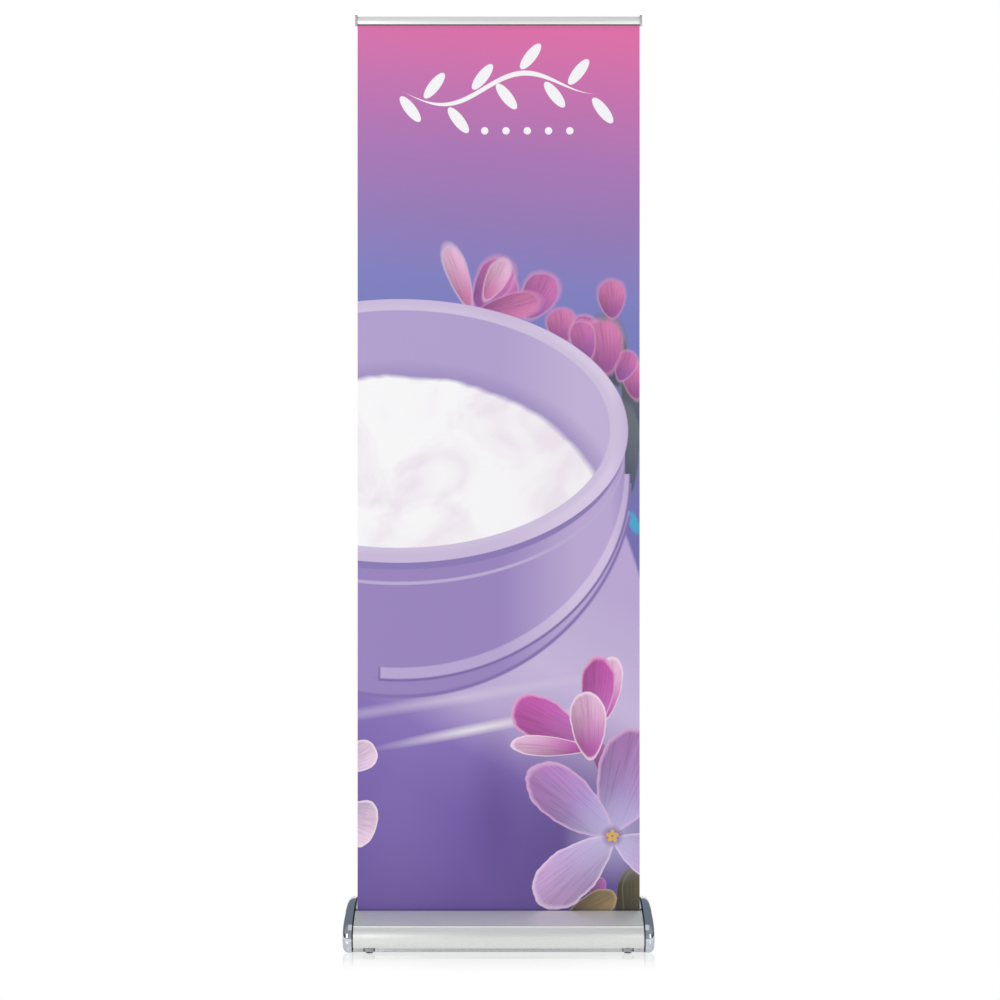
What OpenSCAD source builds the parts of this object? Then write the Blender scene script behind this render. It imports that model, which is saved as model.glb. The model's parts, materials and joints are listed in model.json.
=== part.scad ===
// Roll-up banner stand: a sprung roller in a low aluminium cassette, a printed film that
// winds onto it, a three-section pole behind the film and a clamp rail along the film's top.
// +Z is up, the front faces -Y, and the origin is on the floor at the middle of the base.

/* [Stand] */
// Height from the floor to the top of the rail's end caps
stand_h = 2012; // [1600:1:2200]
// Width of the printed film
film_w = 610; // [400:1:1200]
// Thickness of the printed film
film_t = 0.35; // [0.2:0.05:0.4]

/* [Cassette] */
// Wall thickness of the cassette's aluminium sections
skin_t = 1.8; // [1.4:0.1:2.2]
// Width of one chromed end cap
cap_w = 20; // [16:1:26]
// Wall thickness of an end cap
cap_t = 2.5; // [1.5:0.1:3]
// Place of the film's plane, from the middle of the base
film_y = -22.5; // [-24:0.5:-21]

/* [Roller] */
// Height of the roller's axis
roller_z = 31; // [28:0.5:34]
// Outer radius of the roller tube
tube_r = 15; // [13:0.5:15]
// Turns of film that stay on the roller when the stand is up
spare_turns = 3; // [1:1:4]

/* [Pole] */
// Outer radius of the pole's tubes
pole_r = 9; // [8:0.5:9]
// Wall thickness of the pole's tubes
pole_t = 1; // [0.8:0.1:1.5]
// Place of the pole's axis, from the middle of the base
pole_y = -1; // [-1:0.5:1]

/* [Feet] */
// Distance of each levelling foot from the middle of the base
foot_x = 275; // [150:1:285]
// Travel of a levelling foot
foot_travel = 8; // [4:1:8]

/* [Hidden] */
$fn = 48;
fit = 0.05;                         // radial running clearance
plate_t = 3;                        // end plates
plate_gap = 4;                      // from the film's edge to an end plate
section_x = film_w / 2 + plate_gap; // half the length of the cassette's sections
cap_x = section_x + plate_t;        // inner face of an end cap
slot_front = film_y - 5.5;          // rear face of the slot's front lip
slot_rear = film_y + 6.5;           // front face of the slot's rear lip
port_r = 3.6;                       // screw ports inside the sections
port_hole_r = 1.7;
spare_r = tube_r + spare_turns * film_t;
roller_y = film_y - film_t / 2 - spare_r - fit;
roller_x = film_w / 2 + 1.5;        // half the roller tube's length
tube_in_r = tube_r - 1.2;
shaft_r = 4;
pin_r = 3;
tray_z = 2.5;                       // underside of the base tray
tray_top = tray_z + skin_t;
flange_z = 10.5;                    // top of the tray's upstands
foot_front_y = -82;
foot_rear_y = 85;
wheel_r = 12.5;
wheel_z = tray_top + 0.3;
wheel_h = 6.4;
window_half = 12.2;                 // openings that the thumbwheels stand out through
window_front_y = -87;
window_rear_y = 90;
window_reach = 22;                  // how far the cut runs past the walls
guide_z = wheel_z + wheel_h + 0.3;
guide_t = 3.7;
stud_r = 3.95;
pad_h = 2.2;
socket_r = 13;
socket_floor = 44;
socket_top = 89;
rail_h = 19.6;                      // rail sections, without the end caps
rail_z = stand_h - 3 - rail_h;      // underside of the rail
rail_x = film_w / 2 + 0.5;          // half the length of the rail's jaws
rail_cap_t = 4.5;
plug_r = 4.9;                       // dark round plug at each end of the hinge bead
plug_up = 1.7;                      // its head's centre, above the bead's
groove = [5.4, 10.8];               // mouth of the rail's rear groove, above rail_z
hook_z = rail_z - 3;                // top of the pole's upper tube
hook_reach = pole_y - film_y - 3.2; // from the pole's axis to the tongue's tip
section_l = (hook_z - socket_floor) / 3;
FEET = [["fl", -foot_x, foot_front_y], ["fr", foot_x, foot_front_y],
        ["rl", -foot_x, foot_rear_y], ["rr", foot_x, foot_rear_y]];

// ---- outlines, as [y, z] points seen from the right-hand end ----

function curve(a, b, c, d, n) = [for (i = [0:n]) let (t = i / n, s = 1 - t)
    s * s * s * a + 3 * s * s * t * b + 3 * s * t * t * c + t * t * t * d];
function flip(pts) = [for (i = [len(pts) - 1:-1:0]) pts[i]];
// Unit normal on the right of the run from a to b
function normal(a, b) = let (d = b - a) [d.y, -d.x] / norm(d);
// Mitred offset direction at point i of a run
function mitre(pts, i) = let (last = len(pts) - 1,
    n1 = normal(pts[max(i - 1, 0)], pts[max(i, 1)]),
    n2 = normal(pts[min(i, last - 1)], pts[min(i + 1, last)])) (n1 + n2) / (1 + n1 * n2);
function shifted(pts, t) = [for (i = [0:len(pts) - 1]) pts[i] + t * mitre(pts, i)];
function band(pts, t) = concat(pts, flip(shifted(pts, t)));
function arc(c, r, a, b, n) = [for (i = [0:n]) let (t = a + (b - a) * i / n)
    c + r * [cos(t), sin(t)]];

// Front cover: tongue in the tray, bullnose, ridge bead, slope and the slot's front face
nose = curve([-92.5, flange_z], [-101, 20], [-106.2, 38], [-86.5, 54], 16);
slope = curve([-84, 57.2], [-68, 65.5], [-48, 72.5], [slot_front, 77], 10);
ridge_bead = [-85.2, 55.6];
ridge_r = 2.4;
front_line = concat([[-89.6, 6.5], [-89.6, flange_z]], nose, slope, [[slot_front, 66]]);
// Rear cover: the slot's rear face, crown, back and a tongue in the tray
crown = curve([slot_rear, 82], [6, 87], [32, 89.6], [54, 88.4], 10);
back = concat(curve([54, 88.4], [86, 86.5], [100.08, 62], [100.08, 30], 16),
    curve([100.08, 30], [100.08, 22], [98.5, 15], [95.5, flange_z], 4));
round_back = [for (i = [1:21]) if (i != 17) back[i]];
rear_line = concat([[slot_rear, 71]], crown, round_back, [[92.6, flange_z], [92.6, 6.5]]);
tray_line = concat(arc([-88.5, 5.5], 3, 180, 270, 4), arc([91.5, 5.5], 3, 270, 360, 4));
shell_line = concat(nose, slope, crown, round_back);
end_outline = concat(shell_line, [[94.5, flange_z]], flip(tray_line), [[-91.5, flange_z]]);
cap_line = concat(shifted(shell_line, -2.5), [[95, 3.5], [92, 0.6], [-88, 0.6], [-92.5, 3.5]]);
cap_mid = [0, 40];
cap_size = [102.5, 46];
cap_round = 14;

// Screw ports: one place on each wall, far enough in for the port to join the wall
function port_on(pts, i) = pts[i] + (skin_t + port_r - 0.7) * mitre(pts, i);
front_ports = [port_on(nose, 9), port_on(slope, 4)];
rear_ports = [port_on(crown, 7), port_on(back, 12)];
tray_ports = [[-58, tray_top + port_r - 0.7], [58, tray_top + port_r - 0.7]];
peg_places = [[-72, 22], [76, 24], [40, 70]];

// ---- helpers ----

module along_x(x0, length) {
    translate([x0, 0, 0]) rotate([90, 0, 90]) linear_extrude(height = length) children();
}
module rod_x(x0, length, r, y, z) {
    translate([x0, y, z]) rotate([0, 90, 0]) cylinder(r = r, h = length);
}
module block(low, high) {
    translate(low) cube(high - low);
}
// Solid through rings of points, each [inset, x], drawn in from the cap's outline
module cap_loft(steps) {
    n = len(cap_line);
    points = [for (s = steps) for (p = cap_line) let (q = p - cap_mid)
        [s[1], cap_mid.x + q.x * (1 - s[0] / cap_size.x),
         cap_mid.y + q.y * (1 - s[0] / cap_size.y)]];
    sides = [for (k = [0:len(steps) - 2]) for (i = [0:n - 1]) let (j = (i + 1) % n)
        [k * n + i, k * n + j, (k + 1) * n + j, (k + 1) * n + i]];
    polyhedron(points, concat([[for (i = [n - 1:-1:0]) i]], sides,
        [[for (i = [0:n - 1]) (len(steps) - 1) * n + i]]), convexity = 4);
}
module ports(places) {
    for (p = places) translate(p) circle(r = port_r);
}
module port_holes(places, r) {
    for (p = places) translate(p) circle(r = r);
}
// Openings that the thumbwheels' rims stand out through, from y0 to y1
module wheel_windows(y0, y1) {
    for (x = [-foot_x, foot_x])
        block([x - window_half, y0, tray_top], [x + window_half, y1, guide_z + 0.4]);
}
module tube_z(z0, z1, r_out, r_in) {
    translate([0, pole_y, z0]) difference() {
        cylinder(r = r_out, h = z1 - z0);
        translate([0, 0, -1]) cylinder(r = r_in, h = z1 - z0 + 2);
    }
}

// ---- cassette ----

module cover_run() {
    along_x(-section_x, 2 * section_x) children();
}
module cover_bore(places) {
    for (p = places) rod_x(-section_x - 1, 2 * section_x + 2, port_hole_r, p.x, p.y);
}
module front_cover() {
    color("silver") difference() {
        union() {
            cover_run() polygon(band(front_line, skin_t));
            cover_run() translate(ridge_bead) circle(r = ridge_r);
            cover_run() ports(front_ports);
        }
        cover_bore(front_ports);
        wheel_windows(window_front_y - window_reach, window_front_y);
    }
}
module rear_cover() {
    color("silver") difference() {
        union() {
            cover_run() polygon(band(rear_line, skin_t));
            cover_run() ports(rear_ports);
        }
        cover_bore(rear_ports);
        wheel_windows(window_rear_y, window_rear_y + window_reach);
        translate([0, pole_y, 60]) cylinder(r = socket_r + 0.1, h = 40);
    }
}
module base_tray() {
    color("slategray") difference() {
        along_x(-section_x, 2 * section_x) difference() {
            union() {
                polygon(concat([[-91.5, flange_z - 0.3]], tray_line, [[94.5, flange_z - 0.3]],
                    [[94.5 - skin_t, flange_z - 0.3], [94.5 - skin_t, tray_top],
                     [-91.5 + skin_t, tray_top], [-91.5 + skin_t, flange_z - 0.3]]));
                ports(tray_ports);
            }
            port_holes(tray_ports, port_hole_r);
        }
        wheel_windows(window_front_y - window_reach, window_front_y);
        wheel_windows(window_rear_y, window_rear_y + window_reach);
        for (f = FEET) translate([f[1], f[2], 0]) cylinder(r = stud_r + 0.35, h = 10);
        translate([0, pole_y, 0]) cylinder(r = 2.7, h = 10);
    }
}
module end_plate(side) {
    color("dimgray") difference() {
        along_x(side > 0 ? section_x : -cap_x, plate_t) difference() {
            polygon(end_outline);
            port_holes(concat(front_ports, rear_ports, tray_ports), 2.1);
            port_holes(peg_places, 3);
            translate([slot_front, 70]) square([slot_rear - slot_front, 20]);
            translate([roller_y, roller_z])
                if (side > 0) circle(r = 5);
                else intersection() {
                    circle(r = shaft_r + fit);
                    translate([-5, -5]) square([10, 5 + shaft_r - 1.2 + fit]);
                }
        }
    }
}
module end_plate_screws() {
    color("gainsboro") for (side = [0, 1]) mirror([side, 0, 0])
        for (p = concat(front_ports, rear_ports, tray_ports)) difference() {
            union() {
                rod_x(cap_x - 16, 16, port_hole_r - fit, p.x, p.y);
                rod_x(cap_x, 2, 3.4, p.x, p.y);
            }
            translate([cap_x + 1.5, p.x, p.y]) cube([2, 0.8, 4.6], center = true);
            translate([cap_x + 1.5, p.x, p.y]) cube([2, 4.6, 0.8], center = true);
        }
}
// End cap: a domed shell that covers the end plate, held by three pegs
module end_cap_right() {
    dome = cap_x + cap_w;
    color("lightsteelblue") {
        difference() {
            cap_loft(concat([[0, cap_x]], [for (t = [0:15:90])
                [cap_round * (1 - cos(t)), dome - cap_round * (1 - sin(t))]]));
            cap_loft(concat([[cap_t, cap_x - 1]], [for (t = [0:22.5:90])
                [cap_t + cap_round * (1 - cos(t)), dome - cap_t - cap_round * (1 - sin(t))]]));
        }
        for (p = peg_places) rod_x(cap_x - plate_t + 0.4, cap_w + plate_t - 2.2, 2.9, p.x, p.y);
    }
}
module end_cap_left() {
    mirror([1, 0, 0]) end_cap_right();
}
// Upright column that the pole's foot drops into
module pole_socket() {
    color("dimgray") translate([0, pole_y, 0]) difference() {
        union() {
            translate([0, 0, tray_top]) cylinder(r = socket_r, h = socket_top - tray_top - 1);
            translate([0, 0, socket_top - 1]) cylinder(r1 = socket_r, r2 = socket_r - 1, h = 1);
        }
        translate([0, 0, socket_floor]) cylinder(r = pole_r + 0.1, h = 60);
        translate([0, 0, socket_top - 1]) cylinder(r1 = pole_r + 0.1, r2 = pole_r + 1.2, h = 1.01);
        cylinder(r = 2.1, h = 26);
    }
}
module socket_screw() {
    color("gainsboro") translate([0, pole_y, 0]) difference() {
        union() {
            translate([0, 0, 0.8]) cylinder(r = 4.6, h = tray_z - 0.8);
            translate([0, 0, tray_z]) cylinder(r = 2, h = 20);
        }
        translate([0, 0, 0.5]) cylinder(r = 1.6, h = 1.2, $fn = 6);
    }
}

// ---- levelling feet ----

// Bridge over each thumbwheel: it keeps the wheel in place and stops the stud turning
module foot_guides() {
    legs = wheel_r + 0.6;
    color("dimgray") for (f = FEET) translate([f[1], f[2], 0]) mirror([0, f[2] > 0 ? 1 : 0, 0])
        difference() {
            block([-legs - 2.4, -5.6, tray_top], [legs + 2.4, 9, guide_z + guide_t]);
            block([-legs, -6, tray_top - 1], [legs, 10, guide_z]);
            linear_extrude(height = 60) stud_section(0.1);
        }
}
module stud_section(gap) {
    intersection() {
        circle(r = stud_r + gap);
        translate([-6, -6]) square([6 + 2.8 + gap, 12]);
    }
}
module thumbwheel(f) {
    color("slategray") translate([f[1], f[2], wheel_z]) difference() {
        cylinder(r = wheel_r, h = wheel_h);
        translate([0, 0, -1]) cylinder(r = stud_r + fit, h = wheel_h + 2);
        for (i = [0:23]) rotate(i * 15) translate([wheel_r + 0.4, 0, -1])
            cylinder(r = 1.1, h = wheel_h + 2, $fn = 16);
    }
}
module foot_stud(f) {
    color("gainsboro") translate([f[1], f[2], 0]) {
        translate([0, 0, pad_h - 1]) cylinder(r = 6.5, h = 1);
        translate([0, 0, pad_h])
            linear_extrude(height = guide_z + foot_travel + 2 - pad_h) stud_section(0);
    }
}
module foot_pad(f) {
    color("black") translate([f[1], f[2], 0]) difference() {
        cylinder(r = 8, h = pad_h);
        translate([0, 0, pad_h - 1.02]) cylinder(r = 6.52, h = 2);
    }
}

// ---- roller and spring motor ----

collar_x = -roller_x + 24;
driver_x = -roller_x + 250;
coil_r = 9;
coil_turns = 20;
wire_r = 0.8;

module roller_tube() {
    color("silver") difference() {
        rod_x(-roller_x, 2 * roller_x, tube_r, roller_y, roller_z);
        rod_x(-roller_x - 1, 2 * roller_x + 2, tube_in_r, roller_y, roller_z);
    }
}
module roller_plug(side, hole_r) {
    x = side * roller_x;
    color("dimgray") difference() {
        union() {
            rod_x(side > 0 ? x : x - 1.2, 1.2, spare_r + 1.2, roller_y, roller_z);
            rod_x(side > 0 ? x - 18 : x, 18, tube_in_r - 0.01, roller_y, roller_z);
        }
        rod_x(x - 30, 60, hole_r, roller_y, roller_z);
    }
}
module idle_pin() {
    color("gainsboro") rod_x(roller_x - 16, cap_x - roller_x + 15.5, pin_r, roller_y, roller_z);
}
module idle_bush() {
    color("ivory") difference() {
        union() {
            rod_x(section_x, plate_t, 4.98, roller_y, roller_z);
            rod_x(section_x - 0.9, 0.9, 6.5, roller_y, roller_z);
        }
        rod_x(section_x - 2, plate_t + 4, pin_r + fit, roller_y, roller_z);
    }
}
// Fixed shaft of the spring motor, with a flat that the left end plate holds
module spring_shaft() {
    color("gainsboro") difference() {
        rod_x(-cap_x - 1, driver_x + cap_x + 14, shaft_r, roller_y, roller_z);
        block([-cap_x - 2, roller_y - 5, roller_z + shaft_r - 1.2],
            [-section_x + 0.3, roller_y + 5, roller_z + 6]);
    }
}
module spring_collar() {
    color("orange") difference() {
        rod_x(collar_x, 12, 11, roller_y, roller_z);
        rod_x(collar_x - 1, 14, shaft_r, roller_y, roller_z);
        rod_x(collar_x + 6, 7, wire_r + 0.2, roller_y, roller_z + coil_r);
    }
}
module spring_driver() {
    color("orange") difference() {
        rod_x(driver_x, 12, tube_in_r - 0.01, roller_y, roller_z);
        rod_x(driver_x - 1, 14, shaft_r + fit, roller_y, roller_z);
        rod_x(driver_x - 1, 7, wire_r + 0.2, roller_y, roller_z + coil_r);
    }
}
// Coil from the collar to the driver, with a straight leg into each, swept as one tube.
// Each ring holds its place along the roller, its angle, and its share of leg and of coil.
coil_start = collar_x + 13.5;
coil_end = driver_x - 1.5;
coil_steps = 10;
coil_last = coil_turns * coil_steps;
coil_rings = concat([[collar_x + 8, 0, 1, 0]],
    [for (i = [0:coil_last]) [coil_start + (coil_end - coil_start) * i / coil_last,
        360 * i / coil_steps, i == 0 || i == coil_last ? 1 : 0, 1]],
    [[driver_x + 4, 360 * coil_turns, 1, 0]]);
coil_sides = 5;
module motor_spring() {
    points = [for (ring = coil_rings) for (j = [0:coil_sides - 1])
        let (a = 360 * j / coil_sides, out = [0, sin(ring[1]), cos(ring[1])],
            side = [ring[3], -ring[2] * cos(ring[1]), ring[2] * sin(ring[1])])
        [ring[0], roller_y, roller_z] + coil_r * out + wire_r * (cos(a) * out + sin(a) * side)];
    last = len(coil_rings) - 1;
    sides = [for (k = [0:last - 1]) for (j = [0:coil_sides - 1]) let (m = (j + 1) % coil_sides)
        [k * coil_sides + m, k * coil_sides + j,
         (k + 1) * coil_sides + j, (k + 1) * coil_sides + m]];
    color("gray") polyhedron(points, concat([[for (j = [0:coil_sides - 1]) j]], sides,
        [[for (j = [coil_sides - 1:-1:0]) last * coil_sides + j]]), convexity = 20);
}
module wound_film() {
    color("mediumpurple") difference() {
        rod_x(-film_w / 2, film_w, spare_r, roller_y, roller_z);
        rod_x(-film_w / 2 - 1, film_w + 2, tube_r + 0.02, roller_y, roller_z);
    }
}
module graphic() {
    color("mediumpurple") block([-film_w / 2, film_y - film_t / 2, roller_z],
        [film_w / 2, film_y + film_t / 2, rail_z + 11]);
}

// ---- pole ----

module pole_foot() {
    color("black") translate([0, pole_y, socket_floor]) {
        cylinder(r = pole_r, h = 3);
        cylinder(r = pole_r - pole_t - 0.02, h = 20);
    }
}
module pole_tube(k) {
    z0 = socket_floor + (k == 0 ? 3 : k * section_l + 0.15);
    color("silver") tube_z(z0, socket_floor + (k + 1) * section_l - 0.05, pole_r, pole_r - pole_t);
}
module pole_sleeve(k) {
    mid = socket_floor + k * section_l;
    color("gainsboro") tube_z(mid - 45, mid + 45, pole_r - pole_t - 0.05, pole_r - pole_t - 1.3);
}
module pole_shock_cord() {
    color("black") translate([0, pole_y, 0]) {
        translate([0, 0, socket_floor + 20.2]) cylinder(r = 2, h = hook_z - 32 - socket_floor - 20.2);
        translate([0, 0, socket_floor + 20.2]) cylinder(r = 5, h = 6);
        translate([0, 0, hook_z - 38]) cylinder(r = 5, h = 6);
    }
}
// Top fitting: a stem in the upper tube and a round-nosed tongue that carries the rail
module pole_hook() {
    tongue = [groove[0] + 0.35, groove[1] - 0.1];
    color("black") translate([0, pole_y, 0]) {
        translate([0, 0, hook_z - 30]) cylinder(r = pole_r - pole_t - fit, h = 30);
        translate([0, 0, hook_z]) cylinder(r = pole_r, h = tongue[1] + 3);
        translate([0, 0, rail_z + tongue[0]]) linear_extrude(height = tongue[1] - tongue[0])
            intersection() {
                circle(r = hook_reach);
                translate([-7, -hook_reach - 1]) square([14, hook_reach + 1]);
            }
    }
}

// ---- clamp rail, its outlines measured from the film's plane and the rail's underside ----

bead = [1.4, 16];                   // axis of the hinge between the two jaws
bead_r = 2;
rail_wall = 1.6;
jaw_face = curve([-2.2, 16.3], [-5.6, 12], [-5.9, 5], [-3.4, 0.5], 10);
cap_corners = concat(arc([5, 16.6], 3.4, 0, 90, 4), arc([-2.4, 16], 4, 90, 180, 4),
    arc([-3.4, 2.5], 3, 180, 270, 4), arc([5.4, 2.5], 3, 270, 360, 4));

module along_rail(x0, length) {
    along_x(x0, length) translate([film_y, rail_z]) children();
}
// Back jaw: spine, rear groove for the hook, and the bored bead that the front jaw turns on
module rail_back_jaw() {
    mouth_low = 3.6;
    mouth_high = 11.6;
    color("silver") along_rail(-rail_x, 2 * rail_x) difference() {
        union() {
            translate([0.5, 1]) square([1.8, mouth_high + rail_wall - 1]);
            translate([2.2, mouth_low]) square([5.8, rail_wall]);
            translate([2.2, mouth_high]) square([5.8, rail_wall]);
            translate([6.6, mouth_low]) square([1.4, groove[0] - mouth_low]);
            translate([6.6, groove[1]]) square([1.4, mouth_high + 1 - groove[1]]);
            translate([0.6, mouth_high + 1]) square([1.6, 3]);
            translate(bead) circle(r = bead_r);
        }
        translate(bead) circle(r = 1);
    }
}
// Front jaw: a C over the bead, a bowed face and a toe that grips the film
module rail_front_jaw() {
    color("silver") along_rail(0.3 - rail_x, 2 * rail_x - 0.6) {
        polygon(concat(arc(bead, 3.6, 10, 242, 22), flip(arc(bead, bead_r + 0.1, 10, 242, 22))));
        polygon(band(jaw_face, -rail_wall));
        polygon([[-3.4, 0.5], [-0.25, 0.5], [-0.25, 2.6], [-3.6, 4.2]]);
    }
}
module rail_grip_strip() {
    color("dimgray") block([-rail_x + 1, film_y + film_t / 2 + 0.02, rail_z + 1.5],
        [rail_x - 1, film_y + 0.5, rail_z + 10]);
}
module rail_end_cap_right() {
    color("lightgray") {
        along_rail(rail_x, rail_cap_t) difference() {
            polygon(cap_corners);
            translate([bead.x, bead.y + plug_up]) circle(r = plug_r + 0.05);
        }
        block([rail_x - 14, film_y + 2.5, rail_z + 5.4], [rail_x, film_y + 6.4, rail_z + 11.4]);
    }
}
module rail_end_cap_left() {
    mirror([1, 0, 0]) rail_end_cap_right();
}
module rail_bead_plugs() {
    color("dimgray") for (side = [0, 1]) mirror([side, 0, 0]) {
        rod_x(rail_x + 0.1, rail_cap_t - 0.1, plug_r, film_y + bead.x, rail_z + bead.y + plug_up);
        rod_x(rail_x - 12, 13, 0.95, film_y + bead.x, rail_z + bead.y);
    }
}

front_cover();
rear_cover();
base_tray();
end_plate(-1);  // end_plate_left
end_plate(1);  // end_plate_right
end_plate_screws();
end_cap_left();
end_cap_right();
pole_socket();
socket_screw();
foot_guides();
spring_shaft();
spring_collar();
idle_bush();
roller_tube();
roller_plug(-1, shaft_r + fit);  // roller_plug_left
roller_plug(1, pin_r);  // roller_plug_right
idle_pin();
spring_driver();
motor_spring();
wound_film();
pole_foot();
pole_tube(0);  // pole_tube_lower
pole_tube(1);  // pole_tube_middle
pole_tube(2);  // pole_tube_upper
pole_sleeve(1);  // pole_sleeve_lower
pole_sleeve(2);  // pole_sleeve_upper
pole_shock_cord();
pole_hook();
rail_back_jaw();
rail_front_jaw();
rail_grip_strip();
rail_end_cap_left();
rail_end_cap_right();
rail_bead_plugs();
graphic();
for (f = FEET) {
    thumbwheel(f);
    foot_stud(f);
    foot_pad(f);
}
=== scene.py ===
# %% [markdown]
# # A roll-up banner stand
# The stand is a low aluminium cassette with chromed ends, a printed film that winds out of it, a
# clamp rail along the film's top and a pole behind. The engineering model arrives ready made and
# fixed. Here every surface gets its finish, and the pieces whose shape is seen closely are
# modelled again, finer, in the same places.

# %% Load the frame
import json
import math
import bmesh
import bpy
from mathutils import Matrix, Vector


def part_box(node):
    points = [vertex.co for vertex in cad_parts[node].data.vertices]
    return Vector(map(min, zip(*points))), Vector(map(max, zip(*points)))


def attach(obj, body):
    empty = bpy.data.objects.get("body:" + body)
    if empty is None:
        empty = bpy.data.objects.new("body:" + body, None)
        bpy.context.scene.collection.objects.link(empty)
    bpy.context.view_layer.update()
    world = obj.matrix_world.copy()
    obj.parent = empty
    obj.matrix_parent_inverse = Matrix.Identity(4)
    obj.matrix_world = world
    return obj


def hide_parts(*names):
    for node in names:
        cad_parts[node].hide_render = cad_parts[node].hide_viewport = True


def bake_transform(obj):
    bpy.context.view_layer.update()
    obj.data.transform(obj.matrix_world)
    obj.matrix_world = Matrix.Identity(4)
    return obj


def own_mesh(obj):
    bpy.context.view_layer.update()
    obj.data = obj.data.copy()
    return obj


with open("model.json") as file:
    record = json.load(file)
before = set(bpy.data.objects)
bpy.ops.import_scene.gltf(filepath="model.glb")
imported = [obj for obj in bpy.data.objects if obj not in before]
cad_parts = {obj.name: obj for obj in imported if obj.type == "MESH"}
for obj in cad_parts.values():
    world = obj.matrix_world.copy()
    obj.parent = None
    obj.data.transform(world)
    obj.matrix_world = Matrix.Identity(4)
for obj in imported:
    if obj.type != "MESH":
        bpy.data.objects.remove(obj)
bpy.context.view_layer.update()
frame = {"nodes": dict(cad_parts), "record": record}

BODY_OF = {node: body for body, nodes in frame["record"]["behaviour"]["bodies"].items()
           for node in nodes}
SLOT_OF = {part["node"]: part["material_slot"] for part in frame["record"]["subparts"]}

# %% [markdown]
# ## Camera
# A tall flat object looks truest from far away with a long lens, held level near half its height,
# so that its upright edges stay upright. The camera stands four metres in front of the film.

# %% Make the camera
film_low, film_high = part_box("graphic")
FILM_Y = (film_low.y + film_high.y) / 2
FILM_W = film_high.x - film_low.x

CAMERA_AWAY = 4.0
CAMERA_HEIGHT = 0.9637
CAMERA_RIGHT = 0.003
LENS_MM = 66.6

camera_data = bpy.data.cameras.new("front_camera")
camera_data.lens = LENS_MM
camera_data.sensor_width = 36
camera = bpy.data.objects.new("front_camera", camera_data)
bpy.context.collection.objects.link(camera)
camera.location = (CAMERA_RIGHT, FILM_Y - CAMERA_AWAY, CAMERA_HEIGHT)
camera.rotation_euler = (math.radians(90), 0, 0)
bpy.context.scene.camera = camera
print("camera is at", tuple(round(v, 3) for v in camera.location))

# %% [markdown]
# ## Helpers for node trees
# A material is a small network. These helpers place a node, set or join its inputs, and hand back
# one output, so a finish can be read from top to bottom like a sum.

# %% Colours, nodes and sums
def linear(red, green, blue):
    """A screen colour, 0 to 255 a channel, as the linear colour that shaders work in."""
    channels = [value / 255 for value in (red, green, blue)]
    return (*[c / 12.92 if c < 0.04045 else ((c + 0.055) / 1.055) ** 2.4 for c in channels], 1)


def fill(tree, node, values):
    """Joins each input to the socket given for it, or sets it to the number or colour given."""
    for key, value in values.items():
        if isinstance(value, bpy.types.NodeSocket):
            tree.links.new(value, node.inputs[key])
        else:
            node.inputs[key].default_value = value


def put(tree, kind, values=None, out=0, **settings):
    """Adds a node, sets its settings, fills its inputs, and returns one output."""
    node = tree.nodes.new(kind)
    for name, value in settings.items():
        setattr(node, name, value)
    fill(tree, node, values or {})
    return node.outputs[out]


def calc(tree, operation, a, b=0.0, c=0.0, clamp=False):
    return put(tree, "ShaderNodeMath", {0: a, 1: b, 2: c}, operation=operation, use_clamp=clamp)


def vector(tree, operation, a, b=(0, 0, 0), out=0):
    return put(tree, "ShaderNodeVectorMath", {0: a, 1: b}, out, operation=operation)


def blend(tree, below, above, share):
    """One colour laid over another by a share from 0 to 1."""
    return put(tree, "ShaderNodeMix", {0: share, 6: below, 7: above}, 2, data_type="RGBA")


def spread(tree, value, low, high, to_low=0.0, to_high=1.0):
    """Carries a value from one range to another, with a soft start and a soft end."""
    return put(tree, "ShaderNodeMapRange",
               {0: value, 1: low, 2: high, 3: to_low, 4: to_high}, interpolation_type="SMOOTHSTEP")


print("half of a screen's white is", round(linear(128, 128, 128)[0], 3), "to a shader")

# %% [markdown]
# A ramp turns one number into a run of colours. A group is a small network with named inputs and
# outputs, so that many finishes can share it, each with its own values.

# %% Ramps and groups
def ramp(tree, value, stops):
    """A colour ramp with (place, colour) stops."""
    node = tree.nodes.new("ShaderNodeValToRGB")
    tree.links.new(value, node.inputs[0])
    points = node.color_ramp.elements
    while len(points) < len(stops):
        points.new(0.5)
    for point, (place, colour) in zip(points, stops):
        point.position = place
        point.color = colour
    return node.outputs[0]


def new_group(name, inputs, outputs):
    """An empty shader node group with named inputs (name, kind, value) and outputs."""
    tree = bpy.data.node_groups.new(name, "ShaderNodeTree")
    kinds = {"number": "NodeSocketFloat", "vector": "NodeSocketVector", "colour": "NodeSocketColor"}
    for label, kind, value in inputs:
        made = tree.interface.new_socket(label, in_out="INPUT", socket_type=kinds[kind])
        made.default_value = value
    for label, kind in outputs:
        tree.interface.new_socket(label, in_out="OUTPUT", socket_type=kinds[kind])
    return tree, tree.nodes.new("NodeGroupInput").outputs, tree.nodes.new("NodeGroupOutput").inputs


def use(tree, group, values, out=0):
    node = tree.nodes.new("ShaderNodeGroup")
    node.node_tree = group
    fill(tree, node, values)
    return node.outputs if out is None else node.outputs[out]


print("groups so far:", len(bpy.data.node_groups))

# %% [markdown]
# Every finish starts from the Principled shader, which covers metal, plastic and film alike.
# Patterns are placed by the point on the piece itself, so they move with the piece.

# %% Materials and bump
def new_material(name, metallic=0.0, roughness=0.5, **constants):
    """A material with a plain Principled shader; returns it, its tree and the shader."""
    material = bpy.data.materials.new(name)
    material.use_nodes = True
    shader = material.node_tree.nodes["Principled BSDF"]
    shader.inputs["Metallic"].default_value = metallic
    shader.inputs["Roughness"].default_value = roughness
    for key, value in constants.items():
        shader.inputs[key.replace("_", " ")].default_value = value
    return material, material.node_tree, shader


def feed(tree, shader, name, socket):
    tree.links.new(socket, shader.inputs[name])


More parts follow.
